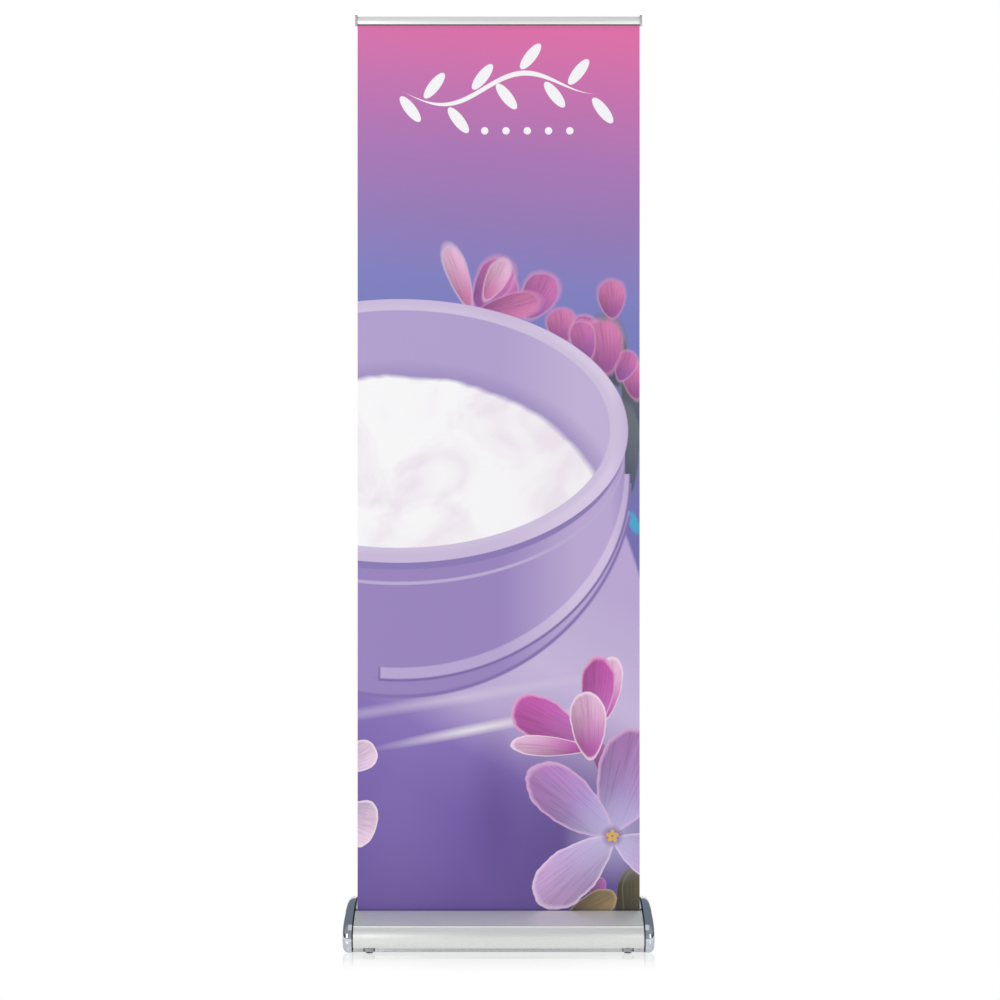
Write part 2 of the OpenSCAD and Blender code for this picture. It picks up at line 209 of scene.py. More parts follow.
def bump(tree, shader, height, strength, distance):
    normal = put(tree, "ShaderNodeBump",
                 {"Strength": strength, "Distance": distance, "Height": height})
    feed(tree, shader, "Normal", normal)


def own_place(tree):
    """The point on the piece in metres, in the stand's own frame."""
    return put(tree, "ShaderNodeTexCoord", out=3)


FROM_FRAME = len(bpy.data.materials)
print("materials that came with the frame:", FROM_FRAME)


# %% [markdown]
# ## Shared surface effects
# Three effects return on many finishes. Grain is the fine run of lines that drawing and brushing
# leave along a metal section. Handling is the cloudy change in gloss that hands and cloths leave.
# Dust is what gathers low down, near the floor. Each is one node group with its own controls.

# %% Grain, handling and dust groups
grain_group, given, result = new_group(
    "Grain", [("Along", "number", 3), ("Across", "number", 900), ("Low", "number", 0.25),
              ("High", "number", 0.4)], [("Roughness", "number"), ("Height", "number")])
stretched = vector(grain_group, "MULTIPLY", own_place(grain_group),
                   put(grain_group, "ShaderNodeCombineXYZ",
                       {0: given["Along"], 1: given["Across"], 2: given["Across"]}))
lines = put(grain_group, "ShaderNodeTexNoise", {"Vector": stretched, "Scale": 1, "Detail": 4,
                                               "Roughness": 0.62})
grain_group.links.new(put(grain_group, "ShaderNodeMapRange", {
    0: lines, 1: 0.3, 2: 0.7, 3: given["Low"], 4: given["High"]}), result["Roughness"])
grain_group.links.new(lines, result["Height"])

handling_group, given, result = new_group(
    "Handling", [("Scale", "number", 14), ("Amount", "number", 0.1)], [("Dull", "number")])
clouds = put(handling_group, "ShaderNodeTexNoise", {
    "Vector": own_place(handling_group), "Scale": given["Scale"], "Detail": 5, "Distortion": 0.6})
handling_group.links.new(calc(handling_group, "MULTIPLY", spread(
    handling_group, clouds, 0.45, 0.72), given["Amount"]), result["Dull"])

dust_group, given, result = new_group(
    "Dust", [("Top", "number", 0.05), ("Amount", "number", 0.3)], [("Mask", "number")])
height = put(dust_group, "ShaderNodeSeparateXYZ", {0: own_place(dust_group)}, 2)
low_down = calc(dust_group, "SUBTRACT", 1.0, calc(
    dust_group, "DIVIDE", height, given["Top"], clamp=True), clamp=True)
specks = put(dust_group, "ShaderNodeTexNoise", {"Vector": own_place(dust_group), "Scale": 260,
                                               "Detail": 6})
dust_group.links.new(calc(dust_group, "MULTIPLY", calc(
    dust_group, "MULTIPLY", low_down, spread(dust_group, specks, 0.42, 0.7)),
    given["Amount"]), result["Mask"])
print("groups:", [group.name for group in bpy.data.node_groups])


# %% [markdown]
# ## Metals
# The covers and the rail are extruded aluminium with a satin anodised skin: the grain runs the
# whole length. The tray, plates and roller are left as drawn, so they are duller. The end caps are
# plastic with a chrome plating: nearly a mirror, with only faint clouding.

# %% Metal finishes
def metal(name, colour, along, across, rough, strength=0.12, dust=0.0, handling=0.06,
          metallic=1.0):
    material, tree, shader = new_material(name, metallic=1.0)
    grain = use(tree, grain_group, {"Along": along, "Across": across, "Low": rough[0],
                                    "High": rough[1]}, None)
    dull = use(tree, handling_group, {"Amount": handling})
    feed(tree, shader, "Roughness", calc(tree, "ADD", grain["Roughness"], dull, clamp=True))
    streak = put(tree, "ShaderNodeMapRange", {0: grain["Height"], 1: 0.3, 2: 0.7, 3: 0.92, 4: 1.0})
    tone = put(tree, "ShaderNodeMix", {0: 1.0, 6: colour, 7: put(
        tree, "ShaderNodeCombineColor", {0: streak, 1: streak, 2: streak})}, 2,
        data_type="RGBA", blend_type="MULTIPLY")
    mask = use(tree, dust_group, {"Amount": dust})
    feed(tree, shader, "Base Color", blend(tree, tone, linear(168, 163, 154), mask))
    feed(tree, shader, "Metallic", calc(tree, "MULTIPLY", calc(
        tree, "SUBTRACT", 1.0, mask), metallic))
    bump(tree, shader, grain["Height"], strength, 0.00012)
    return material


anodised = metal("anodised_aluminium", (0.88, 0.89, 0.87, 1), 2, 1400, (0.38, 0.50), 0.10, 0.2,
                 metallic=0.4)
# Near-black steel for the end plates: painted shade, standing for the shadow in the gap between each
# chromed cap and the casing.
gap_shade_metal = metal("gap_shade_steel", (0.10, 0.10, 0.11, 1), 300, 300, (0.4, 0.55), 0.2)
mill = metal("mill_aluminium", (0.60, 0.61, 0.63, 1), 5, 500, (0.32, 0.5), 0.2, 0.5)
pole_metal = metal("pole_aluminium", (0.72, 0.73, 0.75, 1), 900, 900, (0.24, 0.36), 0.05)
zinc = metal("zinc_steel", (0.62, 0.63, 0.63, 1), 300, 300, (0.28, 0.46), 0.2)
spring_steel = metal("spring_steel", (0.36, 0.36, 0.38, 1), 500, 500, (0.25, 0.4), 0.1)

chrome, tree, shader = new_material("chromed_plastic", metallic=1.0)
clouding = use(tree, handling_group, {"Scale": 35, "Amount": 0.05})
feed(tree, shader, "Roughness", calc(tree, "ADD", clouding, 0.10))
dusty = use(tree, dust_group, {"Top": 0.02, "Amount": 0.35})
feed(tree, shader, "Base Color", blend(tree, (0.66, 0.70, 0.77, 1), linear(170, 166, 158), dusty))
feed(tree, shader, "Metallic", calc(tree, "SUBTRACT", 1.0, dusty))
ripple = put(tree, "ShaderNodeTexNoise", {"Vector": own_place(tree), "Scale": 22, "Detail": 1})
bump(tree, shader, ripple, 0.08, 0.001)
print("metal finishes:", len(bpy.data.materials) - FROM_FRAME)


# %% [markdown]
# ## Plastics, rubber and cord
# Moulded plastic has a fine spark-eroded texture, and its gloss varies with handling. Rubber is
# the same idea, rougher and greyer with dust. The shock cord's braid is two crossed waves.

# %% Plastic finishes
def plastic(name, colour, roughness, texture=2200, strength=0.12, dust=0.0):
    material, tree, shader = new_material(name, roughness=roughness)
    grains = put(tree, "ShaderNodeTexNoise", {"Vector": own_place(tree), "Scale": texture,
                                             "Detail": 2})
    dull = use(tree, handling_group, {"Scale": 30, "Amount": 0.12})
    feed(tree, shader, "Roughness", calc(tree, "ADD", dull, roughness, clamp=True))
    patch = put(tree, "ShaderNodeTexNoise", {"Vector": own_place(tree), "Scale": 60, "Detail": 3})
    darker = tuple(value * 0.86 for value in colour[:3]) + (1,)
    tone = blend(tree, darker, colour, spread(tree, patch, 0.35, 0.65))
    mask = use(tree, dust_group, {"Amount": dust})
    feed(tree, shader, "Base Color", blend(tree, tone, linear(150, 146, 138), mask))
    bump(tree, shader, grains, strength, 0.0002)
    return material


black_plastic = plastic("black_plastic", linear(34, 34, 37), 0.42)
grey_plastic = plastic("grey_plastic", linear(172, 174, 182), 0.36, dust=0.3)
cap_plastic = plastic("rail_cap_plastic", linear(196, 195, 190), 0.33)
dark_plastic = plastic("dark_plastic", linear(44, 40, 44), 0.5)
acetal = plastic("acetal", linear(232, 229, 220), 0.38)
rubber = plastic("black_rubber", linear(84, 84, 88), 0.72, 900, 0.3, 0.6)

cord_finish, tree, shader = new_material("shock_cord", roughness=0.85)
point = own_place(tree)
braid = calc(tree, "MULTIPLY", *[put(tree, "ShaderNodeTexWave", {
    "Vector": put(tree, "ShaderNodeMapping", {0: point, 2: (0, tilt, 0)}), "Scale": 220}, 1)
    for tilt in (0.8, -0.8)])
feed(tree, shader, "Base Color", blend(tree, linear(22, 22, 24), linear(80, 80, 86), braid))
bump(tree, shader, braid, 0.5, 0.0004)
print("with plastics, rubber and cord:", len(bpy.data.materials) - FROM_FRAME, "finishes")

# %% [markdown]
# ## Tools for painting the print
# The film carries a picture, printed as soft-edged shapes one over another. Two shapes are enough.
# An oval is a circle that is turned and stretched. A petal is an oval that widens away from its
# root, with fine veins, a shaded half and a pale rim. Both read the film's own map, in metres from
# the film's middle and from the floor, so the picture stays with the film.

# %% Oval group
def local_place(tree, given, centre):
    """The place seen from a centre, turned back by the shape's own turn."""
    offset = vector(tree, "SUBTRACT", given["Place"], given[centre])
    return put(tree, "ShaderNodeVectorRotate", {"Vector": offset, "Angle": calc(
        tree, "MULTIPLY", given["Turn"], -math.pi / 180)}, rotation_type="Z_AXIS")


oval_group, given, result = new_group("Oval", [
    ("Place", "vector", (0, 0, 0)), ("Centre", "vector", (0, 0, 0)), ("Size", "vector", (1, 1, 1)),
    ("Turn", "number", 0), ("Soft", "number", 0.01)], [("Mask", "number"), ("Distance", "number")])
scaled = vector(oval_group, "DIVIDE", local_place(oval_group, given, "Centre"), given["Size"])
distance = vector(oval_group, "LENGTH", scaled, out=1)
oval_group.links.new(calc(oval_group, "ADD", calc(
    oval_group, "DIVIDE", calc(oval_group, "SUBTRACT", 1.0, distance), given["Soft"]), 0.5,
    clamp=True), result["Mask"])
oval_group.links.new(distance, result["Distance"])
print("an oval takes", [socket.name for socket in oval_group.interface.items_tree
                       if socket.in_out == "INPUT"])

# %% [markdown]
# A petal's outline is a circle in measures of its own: along from the root to the tip, and across
# by a width that grows along it. A little noise in the reach keeps the edge from looking drawn.

# %% Petal outline
petal_group, given, result = new_group("Petal", [
    ("Place", "vector", (0, 0, 0)), ("Root", "vector", (0, 0, 0)), ("Turn", "number", 0),
    ("Length", "number", 0.1), ("Width", "number", 0.06), ("Soft", "number", 0.03),
    ("Root colour", "colour", (1, 1, 1, 1)), ("Tip colour", "colour", (1, 1, 1, 1)),
    ("Rim colour", "colour", (1, 1, 1, 1)), ("Shade", "number", 0.3)],
    [("Colour", "colour"), ("Mask", "number")])
turned = local_place(petal_group, given, "Root")
along = calc(petal_group, "DIVIDE", put(
    petal_group, "ShaderNodeSeparateXYZ", {0: turned}, 0), given["Length"])
across = calc(petal_group, "DIVIDE", put(
    petal_group, "ShaderNodeSeparateXYZ", {0: turned}, 1), calc(
        petal_group, "MULTIPLY", given["Width"], 0.5))
belly = calc(petal_group, "MULTIPLY_ADD", calc(petal_group, "MAXIMUM", along, 0.0), 0.55, 0.62)
sideways = calc(petal_group, "DIVIDE", across, belly)
lengthways = calc(petal_group, "MULTIPLY_ADD", along, 2.0, -1.0)
wobble = put(petal_group, "ShaderNodeTexNoise", {"Vector": given["Place"], "Scale": 26,
                                                "Detail": 2})
reach = calc(petal_group, "SQRT", calc(
    petal_group, "MULTIPLY_ADD", lengthways, lengthways,
    calc(petal_group, "MULTIPLY", sideways, sideways)))
reach = calc(petal_group, "ADD", reach, calc(petal_group, "MULTIPLY_ADD", wobble, 0.18, -0.09))
petal_group.links.new(calc(petal_group, "ADD", calc(
    petal_group, "DIVIDE", calc(petal_group, "SUBTRACT", 1.0, reach), given["Soft"]), 0.5,
    clamp=True), result["Mask"])
print("the outline of a petal takes", len(petal_group.nodes), "nodes")

# %% [markdown]
# The veins are noise that is drawn out along the petal. One side lies in shade, a pale crease runs
# up the middle, and the thin edge of the petal is lighter.

# %% Petal colour
veins = put(petal_group, "ShaderNodeTexNoise", {
    "Vector": put(petal_group, "ShaderNodeCombineXYZ", {
        0: calc(petal_group, "MULTIPLY", along, 1.3), 1: calc(
            petal_group, "MULTIPLY", sideways, 9.0)}), "Scale": 1.5, "Detail": 3})
tone = blend(petal_group, given["Root colour"], given["Tip colour"],
             spread(petal_group, along, 0.05, 0.9))
side_shade = spread(petal_group, calc(petal_group, "MULTIPLY_ADD", veins, 0.5, calc(
    petal_group, "SUBTRACT", sideways, 0.25)), -0.9, 1.1)
shaded = calc(petal_group, "SUBTRACT", 1.10, calc(
    petal_group, "MULTIPLY", side_shade, given["Shade"]))
shaded = calc(petal_group, "SUBTRACT", shaded, spread(petal_group, veins, 0.45, 0.68, 0.0, 0.16))
tone = put(petal_group, "ShaderNodeMix", {0: 1.0, 6: tone, 7: put(
    petal_group, "ShaderNodeCombineColor", {0: shaded, 1: shaded, 2: shaded})}, 2,
    data_type="RGBA", blend_type="MULTIPLY")
crease = calc(petal_group, "MULTIPLY", calc(petal_group, "SUBTRACT", 1.0, spread(
    petal_group, calc(petal_group, "ABSOLUTE", sideways), 0.0, 0.16)), 0.2)
tone = blend(petal_group, tone, given["Root colour"], crease)
rim = calc(petal_group, "MULTIPLY", spread(petal_group, reach, 0.86, 0.98), 0.8)
petal_group.links.new(blend(petal_group, tone, given["Rim colour"], rim), result["Colour"])
print("a whole petal takes", len(petal_group.nodes), "nodes")


# %% [markdown]
# ## The print
# Layers go down from back to front, as paint does: a pink to violet wash, far blossoms out of
# focus, a large open pot of cream with its neck and thread, and sharp blossoms in front. At the
# top, where such a banner names its owner, there is only a plain white flourish with leaves.
#
# One shader can't hold that many shapes. So the picture is painted in strips, one above another,
# and each strip leaves out the shapes that don't reach it.

# %% Painter
class Painter:
    """Lays shapes over each other in the strip between two heights on the film."""

    def __init__(self, tree, place, low, high):
        self.tree, self.place, self.low, self.high = tree, place, low, high
        self.sideways = put(tree, "ShaderNodeSeparateXYZ", {0: place}, 0)
        self.upwards = put(tree, "ShaderNodeSeparateXYZ", {0: place}, 1)
        self.colour = None

    def misses(self, low, high):
        return high < self.low or low > self.high

    def cover(self, colour, mask):
        self.colour = blend(self.tree, self.colour, colour, mask)

    def oval(self, centre, size, colour, turn=0, soft=0.01, strength=1.0, within=None):
        reach = (size[1] if turn == 0 else max(size)) * (1 + soft / 2)
        if self.misses(centre[1] - reach, centre[1] + reach):
            return None
        mask = use(self.tree, oval_group, {
            "Place": self.place, "Centre": (*centre, 0), "Size": (*size, 1), "Turn": turn,
            "Soft": soft})
        if within is not None:
            mask = calc(self.tree, "MULTIPLY", mask, within)
        if strength != 1.0:
            mask = calc(self.tree, "MULTIPLY", mask, strength)
        self.cover(colour, mask)
        return mask

    def petal(self, root, turn, length, width, colours, soft=0.03, shade=0.3):
        rise = length * math.sin(math.radians(turn))
        if self.misses(root[1] + min(rise, 0) - 0.8 * width, root[1] + max(rise, 0) + 0.8 * width):
            return
        made = use(self.tree, petal_group, {
            "Place": self.place, "Root": (*root, 0), "Turn": turn, "Length": length,
            "Width": width, "Soft": soft, "Root colour": colours[0], "Tip colour": colours[1],
            "Rim colour": colours[2], "Shade": shade}, None)
        self.cover(made["Colour"], made["Mask"])

    def round_tone(self, dark, light, edge):
        """Round shading across the pot, from its middle at the left to its right edge."""
        across = calc(self.tree, "DIVIDE", calc(self.tree, "SUBTRACT", self.sideways, POT_X), 0.49)
        return ramp(self.tree, across, [(0.0, dark), (0.45, dark), (0.78, light), (0.93, light),
                                        (1.0, edge)])

    def ring(self, centre_z, size, tone, top_z, soft=0.006, from_x=None):
        """A disc seen aslant, and the straight wall above it up to top_z."""
        if self.misses(centre_z - size[1] * 1.01, top_z):
            return
        disc = use(self.tree, oval_group, {"Place": self.place, "Centre": (POT_X, centre_z, 0),
                                           "Size": (*size, 1), "Soft": soft})
        inside = spread(self.tree, calc(self.tree, "SUBTRACT", POT_X + size[0], self.sideways),
                        -0.0015, 0.0015)
        wall = calc(self.tree, "MULTIPLY", inside, calc(
            self.tree, "GREATER_THAN", self.upwards, centre_z))
        mask = calc(self.tree, "MULTIPLY", calc(self.tree, "MAXIMUM", disc, wall), calc(
            self.tree, "LESS_THAN", self.upwards, top_z))
        if from_x is not None:
            mask = calc(self.tree, "MULTIPLY", mask, spread(
                self.tree, self.sideways, from_x, from_x + 0.004))
        self.cover(self.round_tone(*tone) if tone in ROUND_TONES else tone, mask)


print("a painter can lay", [name for name in vars(Painter) if name in ("oval", "petal", "ring")])

# %% [markdown]
# The wash runs from violet at the foot to pink at the top. The flourish is a wave for a stem, with
# leaves set on it to left and right, and it stands for no word or name.

# %% Wash and flourish
WASH = [(0.000, linear(104, 92, 158)), (0.300, linear(112, 98, 170)),
        (0.660, linear(118, 122, 192)), (0.715, linear(128, 127, 195)),
        (0.785, linear(150, 121, 186)), (0.860, linear(174, 117, 184)),
        (0.930, linear(202, 113, 178)), (1.000, linear(229, 110, 170))]
WHITE = linear(252, 250, 252)


def paint_wash(painter):
    slant = calc(painter.tree, "MULTIPLY_ADD", painter.sideways, 0.11, painter.upwards)
    painter.colour = ramp(painter.tree, calc(painter.tree, "DIVIDE", slant, 2.0), WASH)


def paint_flourish(painter):
    """A winding white stem with leaves, and a row of dots under it."""
    tree = painter.tree
    if not painter.misses(1.74, 1.95):
        bend = calc(tree, "SINE", calc(tree, "MULTIPLY_ADD", painter.sideways, 19.0, 0.6))
        line = calc(tree, "MULTIPLY_ADD", painter.sideways, 0.07, 1.855)
        line = calc(tree, "MULTIPLY_ADD", bend, 0.028, line)
        away = calc(tree, "ABSOLUTE", calc(tree, "SUBTRACT", painter.upwards, line))
        ends = spread(tree, calc(tree, "ABSOLUTE", painter.sideways), 0.235, 0.05, 0.0, 0.006)
        painter.cover(WHITE, spread(tree, calc(tree, "SUBTRACT", ends, away), 0.0, 0.001))
    for step in range(9):
        spot = -0.205 + 0.052 * step
        side = 1 if step % 2 else -1
        stem_z = 1.855 + 0.07 * spot + 0.028 * math.sin(19 * spot + 0.6)
        painter.oval((spot + 0.014, stem_z + side * 0.036), (0.034, 0.012), WHITE,
                     turn=side * 52, soft=0.06)
    for step in range(5):
        painter.oval((-0.03 + 0.046 * step, 1.762), (0.008, 0.008), WHITE, soft=0.1)


print("the wash has", len(WASH), "tones")

# %% [markdown]
# The far blossoms stand behind the pot, so the lens has blurred them: they are the same petals
# with wide soft edges. Each is a root, a turn in degrees, a length, a width and its colours.


# %% Far blossoms, out of focus
PINK = (linear(206, 120, 172), linear(232, 184, 216), linear(244, 214, 232))
DEEP = (linear(150, 85, 160), linear(204, 112, 176), linear(226, 160, 204))
BUD = (linear(160, 84, 152), linear(214, 124, 176), linear(222, 150, 198))
LEAF = (linear(78, 84, 108), linear(100, 108, 112), linear(118, 124, 140))
FAR = (((0.262, 1.20), 102, 0.17, 0.080, LEAF), ((0.300, 1.10), 95, 0.17, 0.060, LEAF),
       ((0.282, 0.97), 94, 0.20, 0.070, LEAF), ((0.300, 1.18), 100, 0.09, 0.055, BUD),
       ((0.262, 1.22), 70, 0.07, 0.050, DEEP), ((0.140, 1.30), 96, 0.08, 0.070, BUD),
       ((0.165, 1.30), 60, 0.07, 0.060, DEEP), ((0.235, 1.235), 98, 0.12, 0.095, BUD),
       ((0.195, 1.265), 105, 0.09, 0.060, DEEP), ((0.246, 1.355), 92, 0.085, 0.066, BUD),
       ((0.060, 1.355), 62, 0.11, 0.085, DEEP), ((0.020, 1.365), 95, 0.09, 0.060, DEEP),
       ((-0.060, 1.375), 110, 0.15, 0.050, PINK), ((-0.050, 1.375), 58, 0.13, 0.085, DEEP),
       ((-0.055, 1.360), 14, 0.15, 0.062, BUD), ((-0.030, 1.395), 62, 0.10, 0.050, PINK))


def paint_far_blossoms(painter):
    for root, turn, length, width, colours in FAR:
        painter.petal(root, turn, length, width, colours, soft=0.28, shade=0.35)
    painter.oval((0.292, 0.915), (0.010, 0.024), linear(60, 170, 210), turn=20, soft=0.6)


print(len(FAR), "petals and leaves far off")

# %% [markdown]
# The pot is round and seen a little from above, so each of its edges is a wide oval. It is laid
# from the bottom up: the body with its light streaks, the neck with its thread, the rim, and the
# cream inside.


# %% The pot: each ring hides the one below it
POT_X = -0.215
BODY = [(0.00, linear(108, 82, 164)), (0.24, linear(122, 94, 178)), (0.38, linear(138, 112, 190)),
        (0.50, linear(190, 170, 216)), (0.66, linear(204, 186, 224)), (0.9, linear(190, 170, 216))]
NECK = (linear(155, 133, 194), linear(190, 170, 216), linear(166, 146, 200))
THREAD = (linear(188, 170, 216), linear(214, 198, 230), linear(196, 178, 218))
WALL_TONE = (linear(180, 161, 210), linear(198, 180, 220), linear(190, 170, 214))
RIM_TONE = (linear(208, 190, 224), linear(222, 206, 234), linear(204, 186, 222))
ROUND_TONES = (NECK, THREAD)


def paint_body(painter):
    if not painter.misses(0.0, 1.0):
        body_tone = ramp(painter.tree, calc(painter.tree, "MULTIPLY_ADD", painter.sideways, 0.55,
                                            painter.upwards), BODY)
        painter.oval((POT_X, 0.50), (0.56, 0.80), body_tone, soft=0.012)
    for centre, size, colour, turn, soft, strength in (
            ((-0.12, 0.530), (0.24, 0.009), linear(216, 204, 230), 9, 1.7, 0.7),
            ((-0.04, 0.470), (0.14, 0.008), linear(244, 238, 246), 11, 1.6, 0.95),
            ((0.08, 0.21), (0.20, 0.22), linear(92, 66, 144), 1, 1.2, 0.45),
            ((-0.01, 0.29), (0.04, 0.11), linear(90, 66, 144), 1, 1.4, 0.5),
            ((-0.22, 0.32), (0.09, 0.26), linear(136, 116, 184), 1, 1.5, 0.35)):
        painter.oval(centre, size, colour, turn, soft, strength)


print("the body runs through", len(BODY), "tones")

# %% [markdown]
# The thread is a ridge that starts part way round, so its light ring and its shadow begin there.

# %% The neck and its thread
def paint_neck(painter):
    for centre_z, size, tone, top_z, from_x in (
            (1.040, (0.514, 0.505), linear(132, 112, 176), 0.93, None),
            (1.046, (0.510, 0.503), NECK, 0.94, None),
            (1.020, (0.503, 0.443), linear(136, 118, 180), 1.00, -0.27),
            (1.022, (0.500, 0.443), NECK, 1.00, None),
            (1.008, (0.500, 0.437), linear(124, 104, 170), 1.02, -0.262),
            (1.012, (0.497, 0.435), THREAD, 1.02, -0.258),
            (1.034, (0.488, 0.433), NECK, 1.113, None),
            (1.064, (0.487, 0.284), linear(190, 176, 216), 1.113, None),
            (1.070, (0.486, 0.283), NECK, 1.113, None),
            (1.098, (0.490, 0.285), linear(140, 122, 184), 1.113, None)):
        painter.ring(centre_z, size, tone, top_z, soft=0.008, from_x=from_x)


print("round tones:", len(ROUND_TONES))

# %% [markdown]
# The rim is three ovals, one inside another, and the cream is a white oval with a rippled edge.

# %% The rim and the cream
RIPPLE = 0.025


def paint_cream(painter):
    tree, place = painter.tree, painter.place
    if painter.misses(0.82, 1.41):
        return
    painter.oval((POT_X, 1.113), (0.495, 0.285), painter.round_tone(*RIM_TONE), soft=0.006)
    painter.oval((POT_X, 1.1175), (0.472, 0.268), linear(210, 196, 226), soft=0.03)
    inner = painter.oval((POT_X, 1.117), (0.456, 0.257), painter.round_tone(*WALL_TONE), soft=0.008)
    if inner is None:
        return
    painter.oval((POT_X, 0.930), (0.46, 0.318), linear(160, 142, 196), soft=0.12, within=inner)
    ripples = put(tree, "ShaderNodeTexNoise", {"Vector": place, "Scale": 6, "Detail": 2,
                                               "Distortion": 1.5})
    pinkness = calc(tree, "ADD", spread(tree, ripples, 0.4, 0.75), spread(
        tree, painter.sideways, -0.1, 0.3, 0.0, 0.5), clamp=True)
    cream = blend(tree, linear(255, 254, 255), linear(244, 234, 244), pinkness)
    shift = calc(tree, "MULTIPLY_ADD", ripples, RIPPLE, -0.012)
    wavy = vector(tree, "ADD", place, put(tree, "ShaderNodeCombineXYZ", {1: shift}))
    mask = use(tree, oval_group, {"Place": wavy, "Centre": (POT_X, 0.915, 0),
                                  "Size": (0.445, 0.315, 1), "Soft": 0.035})
    painter.cover(cream, calc(tree, "MULTIPLY", mask, inner))


print("the cream's edge ripples by", RIPPLE, "m")

# %% [markdown]
# The near blossoms are sharp: a flower of four petals round a yellow middle, a half-open one above
# it, leaves at the very foot, and two petals that reach in from the left. The last number of each
# is how deep its shaded side is.

# %% Near blossoms
MAUVE = (linear(176, 158, 216), linear(184, 128, 196), linear(222, 176, 220))
PALE = (linear(190, 172, 222), linear(204, 164, 216), linear(240, 214, 240))
ROSE = (linear(190, 104, 182), linear(196, 82, 172), linear(236, 176, 218))
BLUSH = (linear(188, 84, 172), linear(232, 184, 218), linear(248, 226, 240))
STEM = (linear(140, 76, 150), linear(170, 96, 168), linear(184, 120, 184))
OLIVE = (linear(62, 54, 58), linear(92, 84, 56), linear(110, 104, 78))
TAN = (linear(104, 82, 70), linear(158, 134, 96), linear(182, 160, 120))
FAINT = (linear(206, 176, 220), linear(238, 208, 232), linear(250, 232, 244))
NEAR = (((0.262, 0.020), 80, 0.155, 0.052, OLIVE, 0.6), ((0.292, 0.015), 91, 0.150, 0.050, OLIVE, 0.5),
        ((0.205, 0.090), 74, 0.060, 0.036, STEM, 0.5), ((0.140, 0.050), 28, 0.130, 0.062, TAN, 0.5),
        ((0.250, 0.345), 112, 0.10, 0.045, STEM, 0.4),
        ((0.228, 0.485), 82, 0.140, 0.060, BLUSH, 0.2), ((0.208, 0.470), 86, 0.155, 0.080, ROSE, 0.45),
        ((0.180, 0.450), 155, 0.165, 0.100, ROSE, 0.4), ((0.195, 0.425), 176, 0.170, 0.048, BLUSH, 0.4),
        ((0.200, 0.400), 94, 0.150, 0.085, BLUSH, 0.4),
        ((0.244, 0.245), 72, 0.235, 0.155, MAUVE, 0.4), ((0.243, 0.240), 141, 0.225, 0.120, MAUVE, 0.4),
        ((0.252, 0.230), -26, 0.150, 0.10, PALE, 0.3), ((0.243, 0.232), 221, 0.210, 0.120, PALE, 0.35),
        ((-0.345, 0.385), 28, 0.090, 0.070, FAINT, 0.3), ((-0.345, 0.28), -18, 0.085, 0.11, FAINT, 0.3))


def paint_near_blossoms(painter):
    painter.oval((0.20, 0.20), (0.16, 0.20), linear(74, 58, 124), soft=1.0, strength=0.5)
    for root, turn, length, width, colours, shade in NEAR:
        painter.petal(root, turn, length, width, colours, soft=0.025, shade=shade)
    painter.oval((0.246, 0.237), (0.060, 0.060), linear(206, 196, 232), soft=1.6, strength=0.6)
    painter.oval((0.246, 0.237), (0.018, 0.018), linear(104, 66, 132), soft=0.9, strength=0.8)
    for step in range(5):
        angle = math.radians(72 * step + 20)
        painter.oval((0.246 + 0.008 * math.cos(angle), 0.237 + 0.008 * math.sin(angle)),
                     (0.0065, 0.0048), linear(222, 176, 92), turn=72 * step + 1, soft=0.4)


print(len(NEAR), "petals and leaves close by")


# %% [markdown]
# The ink lies on a plastic film with a soft sheen. A very fine mottle breaks up the flat colour,
# as printing on film does, and the gloss varies a little along the film. The back of the film is
# a plain grey layer that stops light from shining through.

# %% Print the strips
FILM_ROWS = 170
FILM_LENGTH = film_high.z - film_low.z
STRIP_ROWS = [0, 14, 24, 34, 46, 62, 84, 100, 112, 124, 138, 150, 160, 170]


def printed_strip(first_row, last_row):
    material, tree, shader = new_material(f"printed_film_{first_row}", roughness=0.42)
    film_map = put(tree, "ShaderNodeUVMap", uv_map="film_map")
    place = put(tree, "ShaderNodeMapping", {0: film_map, 1: (-FILM_W / 2, film_low.z, 0),
                                            3: (FILM_W, FILM_LENGTH, 1)})
    low, high = [film_low.z + FILM_LENGTH * row / FILM_ROWS for row in (first_row, last_row)]
    painter = Painter(tree, place, low, high)
    for paint in (paint_wash, paint_flourish, paint_far_blossoms, paint_body, paint_neck,
                  paint_cream, paint_near_blossoms):
        paint(painter)
    mottle = put(tree, "ShaderNodeTexNoise", {"Vector": place, "Scale": 420, "Detail": 2})
    fine = put(tree, "ShaderNodeMapRange", {0: mottle, 1: 0.3, 2: 0.7, 3: 0.97, 4: 1.02})
    feed(tree, shader, "Base Color", put(tree, "ShaderNodeMix", {
        0: 1.0, 6: painter.colour, 7: put(tree, "ShaderNodeCombineColor", {
            0: fine, 1: fine, 2: fine})}, 2, data_type="RGBA", blend_type="MULTIPLY"))
    gloss = put(tree, "ShaderNodeTexNoise", {"Vector": place, "Scale": 5, "Detail": 3})
    feed(tree, shader, "Roughness", spread(tree, gloss, 0.2, 0.8, 0.40, 0.50))
    bump(tree, shader, mottle, 0.04, 0.0002)
    return material


strips = [printed_strip(*rows) for rows in zip(STRIP_ROWS, STRIP_ROWS[1:])]
print(len(strips), "strips with", [len(strip.node_tree.nodes) for strip in strips], "nodes")

# %% Back of the film
back_finish, tree, shader = new_material("film_back", roughness=0.5)
weave = put(tree, "ShaderNodeTexNoise", {"Vector": own_place(tree), "Scale": 320, "Detail": 3})
feed(tree, shader, "Base Color", blend(tree, linear(176, 177, 182), linear(194, 195, 199),
                                       spread(tree, weave, 0.35, 0.65)))
broad = put(tree, "ShaderNodeTexNoise", {"Vector": own_place(tree), "Scale": 4, "Detail": 2})
feed(tree, shader, "Roughness", spread(tree, broad, 0.3, 0.7, 0.42, 0.56))
bump(tree, shader, weave, 0.06, 0.0002)
print("the back of the film is", back_finish.name)

